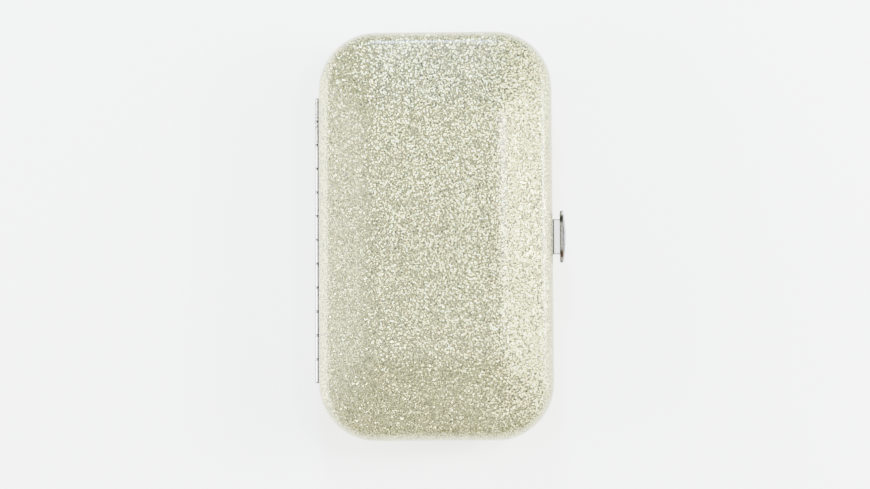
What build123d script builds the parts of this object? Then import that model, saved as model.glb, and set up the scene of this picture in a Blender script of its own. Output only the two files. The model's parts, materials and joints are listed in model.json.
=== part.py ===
from build123d import *
import os
from math import atan2, pi, sqrt, tan

# Manicure set case: a hard, glitter-covered case with a piano hinge along its left edge (-X), a push-button
# catch on its right edge (+X) and stowed nail tools inside. Millimetres, +Z up, +Y towards the top end.
# The case lies closed on its back half. The origin is the centre of the flat face that it rests on.

# ---- Case body ----
case_width = 65.0
case_length = 114.0
half_depth = 12.5  # seam to flat face, for each half
corner_radius = 16.0
wall_rise = 7.4  # seam to the line where side wall and facet would meet
side_facet_run = 14.0
end_facet_run = 22.5
plateau_corner = 4.0
shoulder_radius = 5.0
crease_radius = 15.0

# ---- Layers, from the outside in ----
cover_thickness = 0.8
shell_thickness = 1.2
frame_thickness = 0.6
liner_thickness = 0.8
glue_line = 0.05
cover_edge_radius = 1.2  # the covering is rolled round the edge of the shell

# ---- Steel rims at the seam ----
seam_gap = 0.1
bead_recess = 1.4  # the bead's face lies this far inside the covering
bead_height = 1.5
frame_depth = 4.6
bead_edge = 0.25  # bevel along the bead's two rims
bead_clearance = 0.05

# ---- Tool boards ----
board_height = 6.2  # seam to the board's face
board_thickness = 1.0

# ---- Piano hinge ----
knuckle_count = 12
knuckle_pitch = 6.67
knuckle_gap = 0.3
barrel_radius = 0.9
pin_radius = 0.45
pin_clearance = 0.05
hinge_standoff = 0.5  # pin axis to the covering's outer wall
hinge_shift = -0.9
leaf_thickness = 0.45
leaf_height = 1.4
barrel_clearance = 0.3

# ---- Catch: slider and button ----
catch_shift = -0.45
neck_width = 9.9
neck_thickness = 0.6
neck_round = 0.2
neck_clearance = 0.15
button_standoff = 2.0  # covering's wall to the button's inner face
button_length = 14.4
button_depth = 1.6
button_height = 5.0
button_end_depth = 0.95
button_round = 0.45
button_socket_depth = 0.9
press_clearance = 0.02
catch_travel = 1.6
prong_spacing = 6.0
prong_width = 1.6
prong_thickness = 0.8
hook_reach = 1.1
hook_height = 1.0
hook_bevel = 0.8
lug_width = 3.2
lug_depth = 2.9

# ---- Catch: guide, spring and keeper ----
sheet = 0.6
housing_depth = 4.1
housing_width = 12.4
rail_overlap = 0.55
rail_height = 0.6
lip_setback = 1.0
flange_width = 3.4
spring_length = 4.1
spring_radius = 1.0
spring_wire = 0.36
spring_turns = 4
spring_end_gap = 0.1
keeper_foot = 1.4  # seam to the keeper plate's near edge
keeper_rise = 2.8
ledge_clearance = 0.2
ledge_reach = 1.1
ledge_width = 8.8
prong_clearance = 0.3
rivet_radius = 0.8
rivet_clearance = 0.05
rivet_head_radius = 1.4
rivet_head_height = 0.6
rivet_head_bevel = 0.35
rivet_head_clearance = 0.1  # head to the ledge beside it

# ---- Stowed tools ----
tool_rest_gap = 0.05
band_thickness = 0.8
band_width = 9.0
band_clearance = 0.35
band_margin = 1.5  # band end to the board's edge
base_band_y = 7.2
lid_band_y = -2.6

clipper_length = 58.0
clipper_width = 11.0
clipper_corner = 3.3
jaw_thickness = 1.0
jaw_root = 12.0  # length over which the two jaws lie together
jaw_turn = 11.0  # length of the turned-up cutting end
jaw_tip_rise = 1.8
jaw_tip_gap = 0.5
jaw_bow = 0.6
jaw_bend_radius = 12.0
edge_hollow_radius = 40.0  # curve of the cutting edges, seen from above
edge_thickness = 0.2
edge_angle = 40.0  # ground face to the horizontal
lever_thickness = 1.0
lever_width = 9.0
lever_front_width = 7.0
lever_gap = 0.3
lever_drop = 1.9
lever_curl = 1.0
lever_curl_length = 7.0
clipper_pin_radius = 1.3
clipper_pin_inset = 8.5
clipper_pin_clearance = 0.08
clipper_head_radius = 2.2
clipper_head_height = 0.5
clipper_head_round = 0.25
clipper_x = 14.5
clipper_y = -4.0

tweezers_length = 84.0
tweezers_width = 8.5
tweezers_corner = 2.5
tweezers_tip = 2.6
tweezers_slant = 1.5  # the slanted tip runs this far along the length
tweezers_arm = 0.9
tweezers_spread = 4.2
tweezers_tip_gap = 1.6
tweezers_root = 12.0
tweezers_bend_radius = 25.0
weld_overlap = 0.05
groove_count = 6
groove_pitch = 1.4
groove_radius = 0.5
groove_depth = 0.18
groove_start = 4.0
tweezers_x = 0.5

file_length = 92.0
file_handle_length = 36.0
file_width = 7.0
file_point_length = 11.0
file_thickness = 0.9
file_handle_width = 8.4
file_collar_width = 7.8
file_handle_waist = 0.5  # how far each side curves in
file_handle_thickness = 3.0
file_handle_round = 0.9
file_socket_depth = 12.0
file_socket_clearance = 0.05
file_x = -11.5

pusher_length = 90.0
pusher_radius = 1.5
pusher_tip_length = 15.0
pusher_tip_thickness = 0.8
pusher_point_radius = 0.5
pusher_spoon_radius = 2.4
pusher_spoon_length = 5.0
pusher_x = -20.5

scissors_length = 90.0
scissors_layer = 1.4
scissors_layer_gap = 0.06
blade_length = 34.0
blade_spine = 3.7  # joint's middle to the spine
blade_edge = 2.7  # joint's middle to the cutting edge
blade_tip = 0.8
blade_bevel_width = 1.6
blade_bevel_depth = 1.0
ring_width = 20.0
ring_length = 26.0
ring_wall = 2.8
ring_round = 0.9
ring_gap = 0.6
shank_width = 4.2
shank_top = 1.6  # joint's middle to the shank's middle
shank_drop = 12.0  # joint to the knee
shank_foot = 1.5  # shank's foot outward of the ring's middle
shank_bend_radius = 20.0
joint_radius = 5.0
screw_radius = 1.3
screw_clearance = 0.06
screw_head_radius = 2.4
screw_head_height = 0.7
screw_head_round = 0.4
screw_tail_height = 0.55

# ---- Derived sizes ----
seam_z = half_depth
cover_inside = cover_thickness
shell_outside = cover_inside + glue_line
shell_inside = shell_outside + shell_thickness
frame_outside = shell_inside + glue_line
frame_inside = frame_outside + frame_thickness
liner_inside = frame_outside + liner_thickness
board_edge = liner_inside + glue_line
seam_half = seam_gap / 2
cover_foot = seam_half + bead_height + bead_clearance
shell_foot = cover_foot + cover_thickness + glue_line
side_slope = atan2(half_depth - wall_rise, side_facet_run)
end_slope = atan2(half_depth - wall_rise, end_facet_run)
wall_x = case_width / 2
frame_wall_x = wall_x - frame_inside
bead_x = wall_x - bead_recess
hinge_x = -wall_x - hinge_standoff
hinge_length = knuckle_count * knuckle_pitch
reach = case_width + case_length  # longer than anything in the case, for cutting blocks


def block(x0, x1, y0, y1, z0, z1):
    """A box between two corners."""
    centre = Pos((x0 + x1) / 2, (y0 + y1) / 2, (z0 + z1) / 2)
    return centre * Box(x1 - x0, y1 - y0, z1 - z0)


def outline(inset):
    """The case's rounded outline, moved in from the outer wall."""
    return RectangleRounded(case_width - 2 * inset, case_length - 2 * inset, corner_radius - inset)


def is_at_height(edge, height):
    """True for an edge of the quarter dome that lies at a height and not on a mirror plane."""
    middle = edge.center()
    box = edge.bounding_box()
    tolerance = 1e-3
    level = abs(box.min.Z - height) < tolerance and abs(box.max.Z - height) < tolerance
    return level and middle.X > tolerance and middle.Y > tolerance


def dome(inset):
    """One half's form from the seam (z = 0) to its flat face, as an even offset from the outer surface.

    Straight wall, rounded shoulder, ruled facets and a flat face with a soft crease. One quarter is made and
    mirrored, so that the form is symmetric.
    """
    edge_z = wall_rise - inset * tan(pi / 4 - (side_slope + end_slope) / 4)
    top_z = half_depth - inset
    side_shift = inset * tan(side_slope / 2)
    end_shift = inset * tan(end_slope / 2)
    plateau = RectangleRounded(
        case_width - 2 * (side_facet_run + side_shift),
        case_length - 2 * (end_facet_run + end_shift),
        plateau_corner - side_shift,
    )
    wall = extrude(outline(inset), edge_z)
    facets = loft([Pos(0, 0, edge_z) * outline(inset), Pos(0, 0, top_z) * plateau], ruled=True)
    quarter = (wall + facets) & block(0, case_width, 0, case_length, -half_depth, 2 * half_depth)
    quarter = quarter.solids()[0]
    shoulder = [edge for edge in quarter.edges() if is_at_height(edge, edge_z)]
    quarter = fillet(shoulder, shoulder_radius - inset)
    crease = [edge for edge in quarter.edges() if is_at_height(edge, top_z)]
    quarter = fillet(crease, crease_radius - inset)
    half = quarter + mirror(quarter, about=Plane.YZ)
    return half + mirror(half, about=Plane.XZ)


def above(shape, height):
    """The part of a shape above a height."""
    return shape - block(-reach, reach, -reach, reach, -reach, height)


def as_lid(half):
    """Place a half that was made outward from the seam as the lid's."""
    return Pos(0, 0, seam_z) * half


def as_base(half):
    """Place a half that was made outward from the seam as the base's."""
    return Pos(0, 0, seam_z) * mirror(half, about=Plane.XY)


# ---- Half-shell layers, all made outward from the seam ----
def make_cover(outer):
    """Covering skin, turned in under the edge of the shell."""
    skin = above(outer, cover_foot)
    rim = skin.faces().sort_by(Axis.Z)[0]
    skin = fillet(rim.edges(), cover_edge_radius)
    hollow = above(dome(cover_inside), cover_foot + cover_thickness)
    mouth = extrude(outline(shell_inside), shell_foot)
    return skin - hollow - mouth


def make_shell(inner):
    """Stiff pressed shell under the covering."""
    return above(dome(shell_outside) - inner, shell_foot)


def make_frame(inner):
    """Steel rim: a wall inside the shell and a thicker bead that shows in the seam."""
    wall = extrude(outline(frame_outside), frame_depth) & inner
    bead = above(extrude(outline(bead_recess), seam_half + bead_height), seam_half)
    bead = chamfer(bead.edges().filter_by(Axis.Z, reverse=True), bead_edge)
    hollow = extrude(outline(frame_inside), frame_depth)
    ring = above(wall, seam_half) + bead - hollow
    notch_half = neck_width / 2 + neck_clearance
    notch_height = neck_thickness / 2 + neck_clearance
    y0 = catch_shift - notch_half
    notch = block(frame_wall_x - 1, wall_x, y0, y0 + 2 * notch_half, 0, notch_height)
    return ring - notch


def make_liner(outer, inner):
    """Lining pressed into the shell above the steel rim."""
    return above(outer - inner, frame_depth + glue_line)


def make_board(inner):
    """Stiff tool board, cut to fit the lining."""
    return inner & block(-reach, reach, -reach, reach, board_height, board_height + board_thickness)


# ---- Hinge, made round the pin axis and moved to its place ----
def knuckle_span(index):
    """Start and end along Y of one knuckle, counted from the top end."""
    start = hinge_shift + hinge_length / 2 - (index + 1) * knuckle_pitch
    return start + knuckle_gap / 2, start + knuckle_pitch - knuckle_gap / 2


def barrel(y0, y1, radius):
    """A round bar along the pin axis."""
    return Pos(hinge_x, y1, seam_z) * extrude(Plane.XZ * Circle(radius), y1 - y0)


def make_leaf(first_knuckle, side):
    """Hinge leaf: a strip on the bead, and every other knuckle. side is 1 for the lid and -1 for the base."""
    leaf_x = -bead_x - leaf_thickness
    foot = seam_half
    tip = foot + leaf_height
    y0 = hinge_shift - hinge_length / 2
    y1 = hinge_shift + hinge_length / 2
    leaf = block(leaf_x, -bead_x, y0, y1, foot, tip)
    inner_edge = leaf_x - hinge_x
    cleared = barrel_radius + barrel_clearance
    notch_z = max(foot, sqrt(max(0, cleared**2 - inner_edge**2)))
    for index in range(knuckle_count):
        start, end = knuckle_span(index)
        if index % 2 == first_knuckle:
            leaf += block(hinge_x, -bead_x, start, end, barrel_radius - leaf_thickness, barrel_radius)
        else:
            leaf -= block(leaf_x, -bead_x, start - knuckle_gap, end + knuckle_gap, 0, notch_z)
    leaf = Pos(0, 0, seam_z) * (leaf if side > 0 else mirror(leaf, about=Plane.XY))
    for index in range(first_knuckle, knuckle_count, 2):
        start, end = knuckle_span(index)
        leaf += barrel(start, end, barrel_radius)
    return leaf - barrel(y0, y1, pin_radius + pin_clearance)


def make_hinge_pin():
    """One pin through all the knuckles."""
    start = hinge_shift - hinge_length / 2
    return barrel(start, start + hinge_length, pin_radius)


# ---- Catch, made round the seam plane (z = 0) and its own middle (y = 0) ----
button_x = wall_x + button_standoff
neck_tip_x = button_x + button_socket_depth
hook_tip_x = frame_wall_x - sheet - prong_clearance
prong_x = hook_tip_x - hook_reach - prong_thickness
ledge_z = keeper_foot + sheet
hook_z = ledge_z + sheet + ledge_clearance
lug_x = prong_x
housing_back_x = lug_x - spring_length - 2 * spring_end_gap - sheet
neck_inner_x = housing_back_x + catch_travel + sheet
keeper_rivet_y = ledge_width / 2 + rivet_head_clearance + rivet_head_radius
rivet_y = housing_width / 2 + flange_width / 2
rivet_z = -(housing_depth + neck_thickness) / 2


def in_place(catch_piece):
    """Move a catch piece to the seam and to the catch's place along the edge."""
    return Pos(0, catch_shift, seam_z) * catch_piece


def make_latch_slider():
    """Neck plate with two hooked prongs above it and a lug for the spring below it."""
    half = neck_thickness / 2
    slider = block(neck_inner_x, neck_tip_x, -neck_width / 2, neck_width / 2, -half, half)
    slider = fillet(slider.edges().filter_by(Axis.X), neck_round)
    stem_x = prong_x + prong_thickness
    tip_z = hook_z + hook_height
    hook = Polyline(
        (prong_x, 0),
        (stem_x, 0),
        (stem_x, hook_z),
        (stem_x + hook_reach, hook_z),
        (stem_x + hook_reach, tip_z - hook_bevel),
        (stem_x, tip_z),
        (prong_x, tip_z),
        close=True,
    )
    prong = extrude(Plane.XZ * make_face(hook), prong_width / 2, both=True)
    for side in (-1, 1):
        slider += Pos(0, side * prong_spacing / 2, 0) * prong
    lug = block(lug_x, lug_x + sheet, -lug_width / 2, lug_width / 2, -half - lug_depth, 0)
    return slider + lug


def make_latch_button():
    """Push bar with round ends: flat towards the case, bowed on the outside, pressed on the neck's end."""
    half = button_length / 2
    shoulder_x = button_x + button_end_depth
    inner_side = Line((button_x, -half), (button_x, half))
    top_end = Line((button_x, half), (shoulder_x, half))
    bow = ThreePointArc((shoulder_x, half), (button_x + button_depth, 0), (shoulder_x, -half))
    bottom_end = Line((shoulder_x, -half), (button_x, -half))
    bar = extrude(make_face([inner_side, top_end, bow, bottom_end]), button_height / 2, both=True)
    bar = fillet(bar.edges(), button_round)
    socket_half = neck_width / 2 + press_clearance
    socket_height = neck_thickness / 2 + press_clearance
    socket_x = neck_tip_x + press_clearance
    return bar - block(wall_x, socket_x, -socket_half, socket_half, -socket_height, socket_height)


def make_latch_housing():
    """Sheet-steel slide guide with a floor, a back wall, two railed sides and two riveted flanges."""
    outer = housing_width / 2
    back = housing_back_x
    front = frame_wall_x
    slot = neck_thickness / 2 + neck_clearance
    inner = outer - sheet
    rail = neck_width / 2 - rail_overlap
    lip_front = front - lip_setback
    housing = block(back, front, -outer, outer, -housing_depth, -housing_depth + sheet)
    housing += block(back, back + sheet, -outer, outer, -housing_depth, -slot)
    for side in (-1, 1):
        wall = block(back, front, inner, outer, -housing_depth, -slot)
        wall += block(back, lip_front, inner, outer, -housing_depth, slot + rail_height)
        wall += block(back, lip_front, rail, outer, slot, slot + rail_height)
        wall += block(back, front, rail, outer, -slot - rail_height, -slot)
        flange = block(front - sheet, front, inner, outer + flange_width, -housing_depth, -slot)
        wall = wall + flange - latch_rivet_place(1) * drill_for_rivet()
        housing += wall if side > 0 else mirror(wall, about=Plane.XZ)
    return housing


def make_latch_spring():
    """Small coil spring between the guide's back wall and the slider's lug."""
    start_x = housing_back_x + sheet + spring_end_gap + spring_wire / 2
    length = spring_length - spring_wire
    path = Helix(pitch=length / spring_turns, height=length, radius=spring_radius)
    section = Plane(origin=path @ 0, z_dir=path % 0) * Circle(spring_wire / 2)
    coil = sweep(section, path=path)
    axis_z = -neck_thickness / 2 - lug_depth / 2
    return Pos(start_x, 0, axis_z) * Rot(0, 90, 0) * coil


def make_keeper():
    """Catch plate on the lid's rim, with the ledge that the hooks hold."""
    front = frame_wall_x
    half = keeper_rivet_y + rivet_head_radius
    plate = block(front - sheet, front, -half, half, keeper_foot, keeper_foot + keeper_rise)
    ledge_half = ledge_width / 2
    ledge_x = front - sheet - ledge_reach
    plate += block(ledge_x, front - sheet, -ledge_half, ledge_half, ledge_z, ledge_z + sheet)
    for side in (-1, 1):
        plate -= keeper_rivet_place(side) * drill_for_rivet()
    return plate


def keeper_rivet_place(side):
    """Where a keeper rivet goes through the lid's rim."""
    return Pos(frame_wall_x, side * keeper_rivet_y, keeper_foot + keeper_rise / 2)


def latch_rivet_place(side):
    """Where a guide rivet goes through the base's rim."""
    return Pos(frame_wall_x, side * rivet_y, rivet_z)


def make_rivet():
    """Rivet along +X through a sheet bracket and the rim's wall, with its bevelled head inside the case."""
    length = sheet + frame_thickness
    shank = Pos(-sheet + length / 2, 0, 0) * Cylinder(rivet_radius, length, rotation=(0, 90, 0))
    head = Cylinder(rivet_head_radius, rivet_head_height)
    head = chamfer(head.edges().sort_by(Axis.Z)[-1], rivet_head_bevel)
    return shank + Pos(-sheet - rivet_head_height / 2, 0, 0) * Rot(0, -90, 0) * head


def drill_for_rivet():
    """Cutter along X for a rivet's hole."""
    return Cylinder(rivet_radius + rivet_clearance, 2 * (sheet + frame_thickness), rotation=(0, 90, 0))


def make_rivets(place):
    """The pair of rivets at both sides of the catch."""
    return [in_place(place(side)) * make_rivet() for side in (-1, 1)]


# ---- Tools, each made lying on z = 0 with its length along Y ----
def strip(path, thickness, width):
    """A bent strip of sheet metal along a path in the YZ plane."""
    return extrude(Plane.YZ * trace(path, line_width=thickness), width / 2, both=True)


def plan(width, length, front_width, height, corner, slant=0):
    """Block with round rear corners that narrows from its middle to its front, to trim a tool."""
    corners = Polyline(
        (-width / 2, -length / 2),
        (width / 2, -length / 2),
        (width / 2, 0),
        (front_width / 2, length / 2 - slant),
        (-front_width / 2, length / 2),
        (-width / 2, 0),
        close=True,
    )
    body = extrude(make_face(corners), height, both=True)
    rear = body.edges().filter_by(Axis.Z).group_by(Axis.Y)[0]
    return fillet(rear, corner)


clipper_half = clipper_length / 2
clipper_pin_y = clipper_half - clipper_pin_inset
lower_jaw_z = jaw_thickness / 2
upper_root_z = lower_jaw_z + jaw_thickness + glue_line
lower_tip_z = lower_jaw_z + jaw_tip_rise
upper_tip_z = lower_tip_z + jaw_thickness + jaw_tip_gap
upper_bow_z = upper_tip_z + jaw_bow
lever_z = upper_bow_z + (jaw_thickness + lever_thickness) / 2 + lever_gap
lever_low_z = lever_z - lever_drop
clipper_height = lever_z + lever_thickness / 2


def trim_clipper(piece, width, front_width):
    """Trim a clipper strip to its outline and drill it for the pin."""
    body = plan(width, clipper_length, front_width, 2 * clipper_height, clipper_corner)
    hole = Cylinder(clipper_pin_radius + clipper_pin_clearance, 3 * clipper_height)
    return (piece & body) - Pos(0, clipper_pin_y, 0) * hole


def grind(jaw, edge_z, side):
    """Grind a jaw's end to a hollow cutting edge, from above (side 1) or from below (side -1)."""
    waste = Pos(0, 0, side * clipper_height / 2) * Box(2 * clipper_width, clipper_length, clipper_height)
    face = Pos(0, clipper_half, edge_z + side * edge_thickness) * Rot(-side * edge_angle, 0, 0)
    hollow_y = clipper_half + sqrt(edge_hollow_radius**2 - (clipper_width / 2) ** 2)
    hollow = Pos(0, hollow_y, 0) * Cylinder(edge_hollow_radius, 3 * clipper_height)
    return jaw - face * waste - hollow


def make_clipper_lower_jaw():
    """Lower jaw: a flat leaf that turns up to its cutting edge."""
    path = FilletPolyline(
        (-clipper_half, lower_jaw_z),
        (clipper_half - jaw_turn, lower_jaw_z),
        (clipper_half, lower_tip_z),
        radius=jaw_bend_radius,
    )
    jaw = trim_clipper(strip(path, jaw_thickness, clipper_width), clipper_width, clipper_width)
    return grind(jaw, lower_tip_z + jaw_thickness / 2, -1)


def make_clipper_upper_jaw():
    """Upper jaw: a spring leaf that bows up from the root and comes down to meet the lower edge."""
    path = FilletPolyline(
        (-clipper_half, upper_root_z),
        (-clipper_half + jaw_root, upper_root_z),
        (clipper_pin_y - clipper_pin_inset, upper_bow_z),
        (clipper_half, upper_tip_z),
        radius=jaw_bend_radius,
    )
    jaw = trim_clipper(strip(path, jaw_thickness, clipper_width), clipper_width, clipper_width)
    return grind(jaw, upper_tip_z - jaw_thickness / 2, 1)


def make_clipper_lever():
    """Thumb lever, folded flat along the clipper's back, with its free end curled up."""
    path = FilletPolyline(
        (-clipper_half, lever_low_z + lever_curl),
        (-clipper_half + lever_curl_length, lever_low_z),
        (clipper_pin_y - clipper_pin_inset, lever_z),
        (clipper_pin_y + clipper_pin_inset / 2, lever_z),
        radius=jaw_bend_radius,
    )
    return trim_clipper(strip(path, lever_thickness, lever_width), lever_width, lever_front_width)


def make_clipper_pin():
    """Post through both jaws and the lever, with a flat head below and a domed one on top."""
    body = Pos(0, 0, clipper_height / 2) * Cylinder(clipper_pin_radius, clipper_height)
    foot = Pos(0, 0, -clipper_head_height / 2) * Cylinder(clipper_head_radius, clipper_head_height)
    top = Pos(0, 0, clipper_height + clipper_head_height / 2) * Cylinder(
        clipper_head_radius, clipper_head_height
    )
    top = fillet(top.edges().sort_by(Axis.Z)[-1], clipper_head_round)
    return Pos(0, clipper_pin_y, 0) * (body + foot + top)


tweezers_height = tweezers_spread + tweezers_arm / 2


def make_tweezers():
    """Tweezers: two arms that are one at the rear, bow apart and come together at slanted, narrow tips."""
    half = tweezers_length / 2
    lower_z = tweezers_arm / 2
    root_z = lower_z + tweezers_arm - weld_overlap
    tip_z = lower_z + tweezers_arm + tweezers_tip_gap
    lower = strip(Line((-half, lower_z), (half, lower_z)), tweezers_arm, tweezers_width)
    bow = FilletPolyline(
        (-half, root_z),
        (-half + tweezers_root, root_z),
        (0, tweezers_spread),
        (half, tip_z),
        radius=tweezers_bend_radius,
    )
    upper = strip(bow, tweezers_arm, tweezers_width)
    slope = (tweezers_spread - tip_z) / half
    for index in range(groove_count):
        y = groove_start + index * groove_pitch
        z = tweezers_height - slope * y + groove_radius - groove_depth
        upper -= Pos(0, y, z) * Cylinder(groove_radius, 2 * tweezers_width, rotation=(0, 90, 0))
    body = plan(
        tweezers_width, tweezers_length, tweezers_tip, 2 * tweezers_spread, tweezers_corner, tweezers_slant
    )
    return (lower + upper) & body


def make_file_blade():
    """Nail file blade with a curved point, from inside the handle to the tip."""
    half = file_length / 2
    root = -half + file_handle_length - file_socket_depth
    side = file_width / 2
    point_y = half - file_point_length
    right_point = TangentArc((side, point_y), (0, half), tangent=(0, 1))
    left_point = TangentArc((-side, point_y), (0, half), tangent=(0, 1))
    sides = Polyline((-side, point_y), (-side, root), (side, root), (side, point_y))
    z = (file_handle_thickness - file_thickness) / 2
    return Pos(0, 0, z) * extrude(make_face([right_point, left_point, sides]), file_thickness)


def make_file_handle():
    """Moulded file handle: a round rear end, a slight waist and a collar with a socket for the blade."""
    rear = file_handle_width / 2
    front = file_collar_width / 2
    y0 = -file_length / 2 + rear
    y1 = -file_length / 2 + file_handle_length
    waist_x = (rear + front) / 2 - file_handle_waist
    end_arc = ThreePointArc((-rear, y0), (0, y0 - rear), (rear, y0))
    right_side = ThreePointArc((rear, y0), (waist_x, (y0 + y1) / 2), (front, y1))
    left_side = ThreePointArc((-rear, y0), (-waist_x, (y0 + y1) / 2), (-front, y1))
    collar = Line((-front, y1), (front, y1))
    handle = extrude(make_face([end_arc, right_side, collar, left_side]), file_handle_thickness)
    handle = fillet(handle.edges().group_by(Axis.Z)[-1], file_handle_round)
    gap = file_socket_clearance
    side = file_width / 2 + gap
    z = (file_handle_thickness - file_thickness) / 2
    return handle - block(-side, side, y1 - file_socket_depth - gap, reach, z - gap, z + file_thickness + gap)


def make_cuticle_pusher():
    """Cuticle pusher: a round rod, flattened to a spoon at one end and pointed at the other."""
    half = pusher_length / 2
    neck_y = half - pusher_tip_length
    spoon_y = half - pusher_spoon_length
    profile = Polyline(
        (0, -half),
        (pusher_point_radius, -half),
        (pusher_radius, -neck_y),
        (pusher_radius, neck_y),
        (pusher_spoon_radius, spoon_y),
        (pusher_spoon_radius, half),
        (0, half),
        close=True,
    )
    rod = revolve(make_face(profile), Axis.Y)
    flat = pusher_tip_thickness / 2
    wide = 2 * pusher_spoon_radius
    for side in (-1, 1):
        wedge = Polyline(
            (neck_y, side * pusher_radius),
            (spoon_y, side * flat),
            (half + wide, side * flat),
            (half + wide, side * wide),
            (neck_y, side * wide),
            close=True,
        )
        rod -= extrude(Plane.YZ * make_face(wedge), wide, both=True)
    spoon_end = Pos(0, half - pusher_spoon_radius) * Circle(pusher_spoon_radius)
    spoon_end += Pos(0, -pusher_spoon_radius) * Rectangle(wide, pusher_length)
    return Pos(0, 0, pusher_radius) * (rod & extrude(spoon_end, wide, both=True))


# ---- Scissors: two halves that cross at a screw ----
joint_y = scissors_length / 2 - blade_length
ring_y = -(scissors_length - ring_length) / 2
ring_x = (ring_width + ring_gap) / 2
scissors_height = 2 * scissors_layer + scissors_layer_gap
knee_x = (shank_width + ring_gap) / 2
knee_y = joint_y - shank_drop
foot_x = ring_x + shank_foot
foot_y = ring_y + (ring_length - ring_wall) / 2
shank_slope = (foot_x - knee_x) / (knee_y - foot_y)


def shank_edge(y):
    """How far a shank's outer edge lies from the middle, at a place between its knee and its ring."""
    return knee_x + (knee_y - y) * shank_slope + shank_width / 2 * sqrt(1 + shank_slope**2)


def make_blade(level):
    """Blade with a straight, bevelled cutting edge and a curved spine."""
    tip_y = scissors_length / 2
    edge = Line((-blade_edge, joint_y), (-blade_tip / 2, tip_y))
    tip = Line((-blade_tip / 2, tip_y), (blade_tip / 2, tip_y))
    spine = TangentArc((blade_spine, joint_y), (blade_tip / 2, tip_y), tangent=(0, 1))
    root = Line((-blade_edge, joint_y), (blade_spine, joint_y))
    blade = extrude(make_face([edge, tip, spine, root]), scissors_layer)
    outer_face = blade.faces().sort_by(Axis.Z)[-1 if level else 0]
    cutting_edge = outer_face.edges().sort_by(Axis.X)[0]
    return chamfer(cutting_edge, blade_bevel_width, blade_bevel_depth, reference=outer_face)


def make_finger_ring():
    """Finger ring with rounded rims."""
    hole_width = ring_width - 2 * ring_wall
    hole_length = ring_length - 2 * ring_wall
    loop = SlotOverall(ring_length, ring_width, rotation=90)
    loop -= SlotOverall(hole_length, hole_width, rotation=90)
    ring = extrude(loop, scissors_height)
    return fillet(ring.edges().filter_by(Axis.Z, reverse=True), ring_round)


def make_scissors_half(level):
    """One half: its blade crosses from the ring's side. level 0 lies on the board, level 1 above it."""
    path = FilletPolyline(
        (-shank_top, joint_y),
        (-knee_x, knee_y),
        (-foot_x, foot_y),
        radius=shank_bend_radius,
    )
    ring_middle = SlotOverall(ring_length - ring_wall, ring_width - ring_wall, rotation=90)
    shank = trace(path, line_width=shank_width) - Pos(-ring_x, ring_y) * ring_middle
    hub = Pos(0, joint_y) * Circle(joint_radius)
    crossing = extrude(hub + shank, scissors_layer) + make_blade(level)
    handle = extrude(shank & Pos(0, knee_y - reach / 2) * Rectangle(reach, reach), scissors_height)
    handle += Pos(-ring_x, ring_y, 0) * make_finger_ring()
    half = Pos(0, 0, level * (scissors_layer + scissors_layer_gap)) * crossing + handle
    return half - Pos(0, joint_y, 0) * Cylinder(screw_radius + screw_clearance, 4 * scissors_height)


def make_scissors_screw():
    """Pivot screw with a domed head and a riveted tail."""
    shank = Pos(0, 0, scissors_height / 2) * Cylinder(screw_radius, scissors_height)
    tail = Pos(0, 0, -screw_tail_height / 2) * Cylinder(screw_head_radius, screw_tail_height)
    head = Pos(0, 0, scissors_height + screw_head_height / 2) * Cylinder(screw_head_radius, screw_head_height)
    head = fillet(head.edges().sort_by(Axis.Z)[-1], screw_head_round)
    return Pos(0, joint_y, 0) * (shank + tail + head)


# ---- Placing tools on the boards ----
def on_base(tool, x, y, lift):
    """Lay a tool on the base's board."""
    return Pos(x, y, seam_z - board_height + tool_rest_gap + lift) * tool


def on_lid(tool, x, y, lift):
    """Lay a tool on the lid's board, face down."""
    return Pos(x, y, seam_z + board_height - tool_rest_gap - lift) * Rot(0, 180, 0) * tool


def make_band(humps):
    """Elastic band across a board, arched over each tool and stitched down between them.

    humps holds the centre, half width and height of each tool, from left to right.
    """
    end = board.bounding_box().max.X - band_margin
    low = band_thickness / 2 + tool_rest_gap
    points = [(-end, low)]
    for centre, half_width, height in humps:
        side = half_width + band_clearance + band_thickness / 2
        high = height + band_clearance + band_thickness / 2
        points += [(centre - side, low), (centre - side, high), (centre + side, high), (centre + side, low)]
    points.append((end, low))
    strip = trace(Polyline(*points), line_width=band_thickness)
    return extrude(Plane.XZ * strip, band_width / 2, both=True)


# ---- Build every piece ----
outer_dome = dome(0)
shell_dome = dome(shell_inside)
lining_dome = dome(frame_outside)
liner_dome = dome(liner_inside)
board_dome = dome(board_edge)

cover = make_cover(outer_dome)
shell = make_shell(shell_dome)
frame = make_frame(lining_dome)
liner = make_liner(lining_dome, liner_dome)
board = make_board(board_dome)

base_frame = as_base(frame)
lid_frame = as_lid(frame)
for side in (-1, 1):
    base_frame -= in_place(latch_rivet_place(side)) * drill_for_rivet()
    lid_frame -= in_place(keeper_rivet_place(side)) * drill_for_rivet()

base_humps = [
    (pusher_x, pusher_radius, 2 * pusher_radius),
    (file_x, file_handle_width / 2, file_handle_thickness),
    (tweezers_x, tweezers_width / 2, tweezers_height),
    (clipper_x, clipper_width / 2, clipper_height + clipper_head_height),
]
scissors_lift = screw_tail_height
lid_humps = [(0, shank_edge(lid_band_y - band_width / 2), scissors_height + scissors_lift)]
clipper_lift = clipper_head_height
upper_half = make_scissors_half(1)
lower_half = mirror(make_scissors_half(0), about=Plane.YZ)

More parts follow.
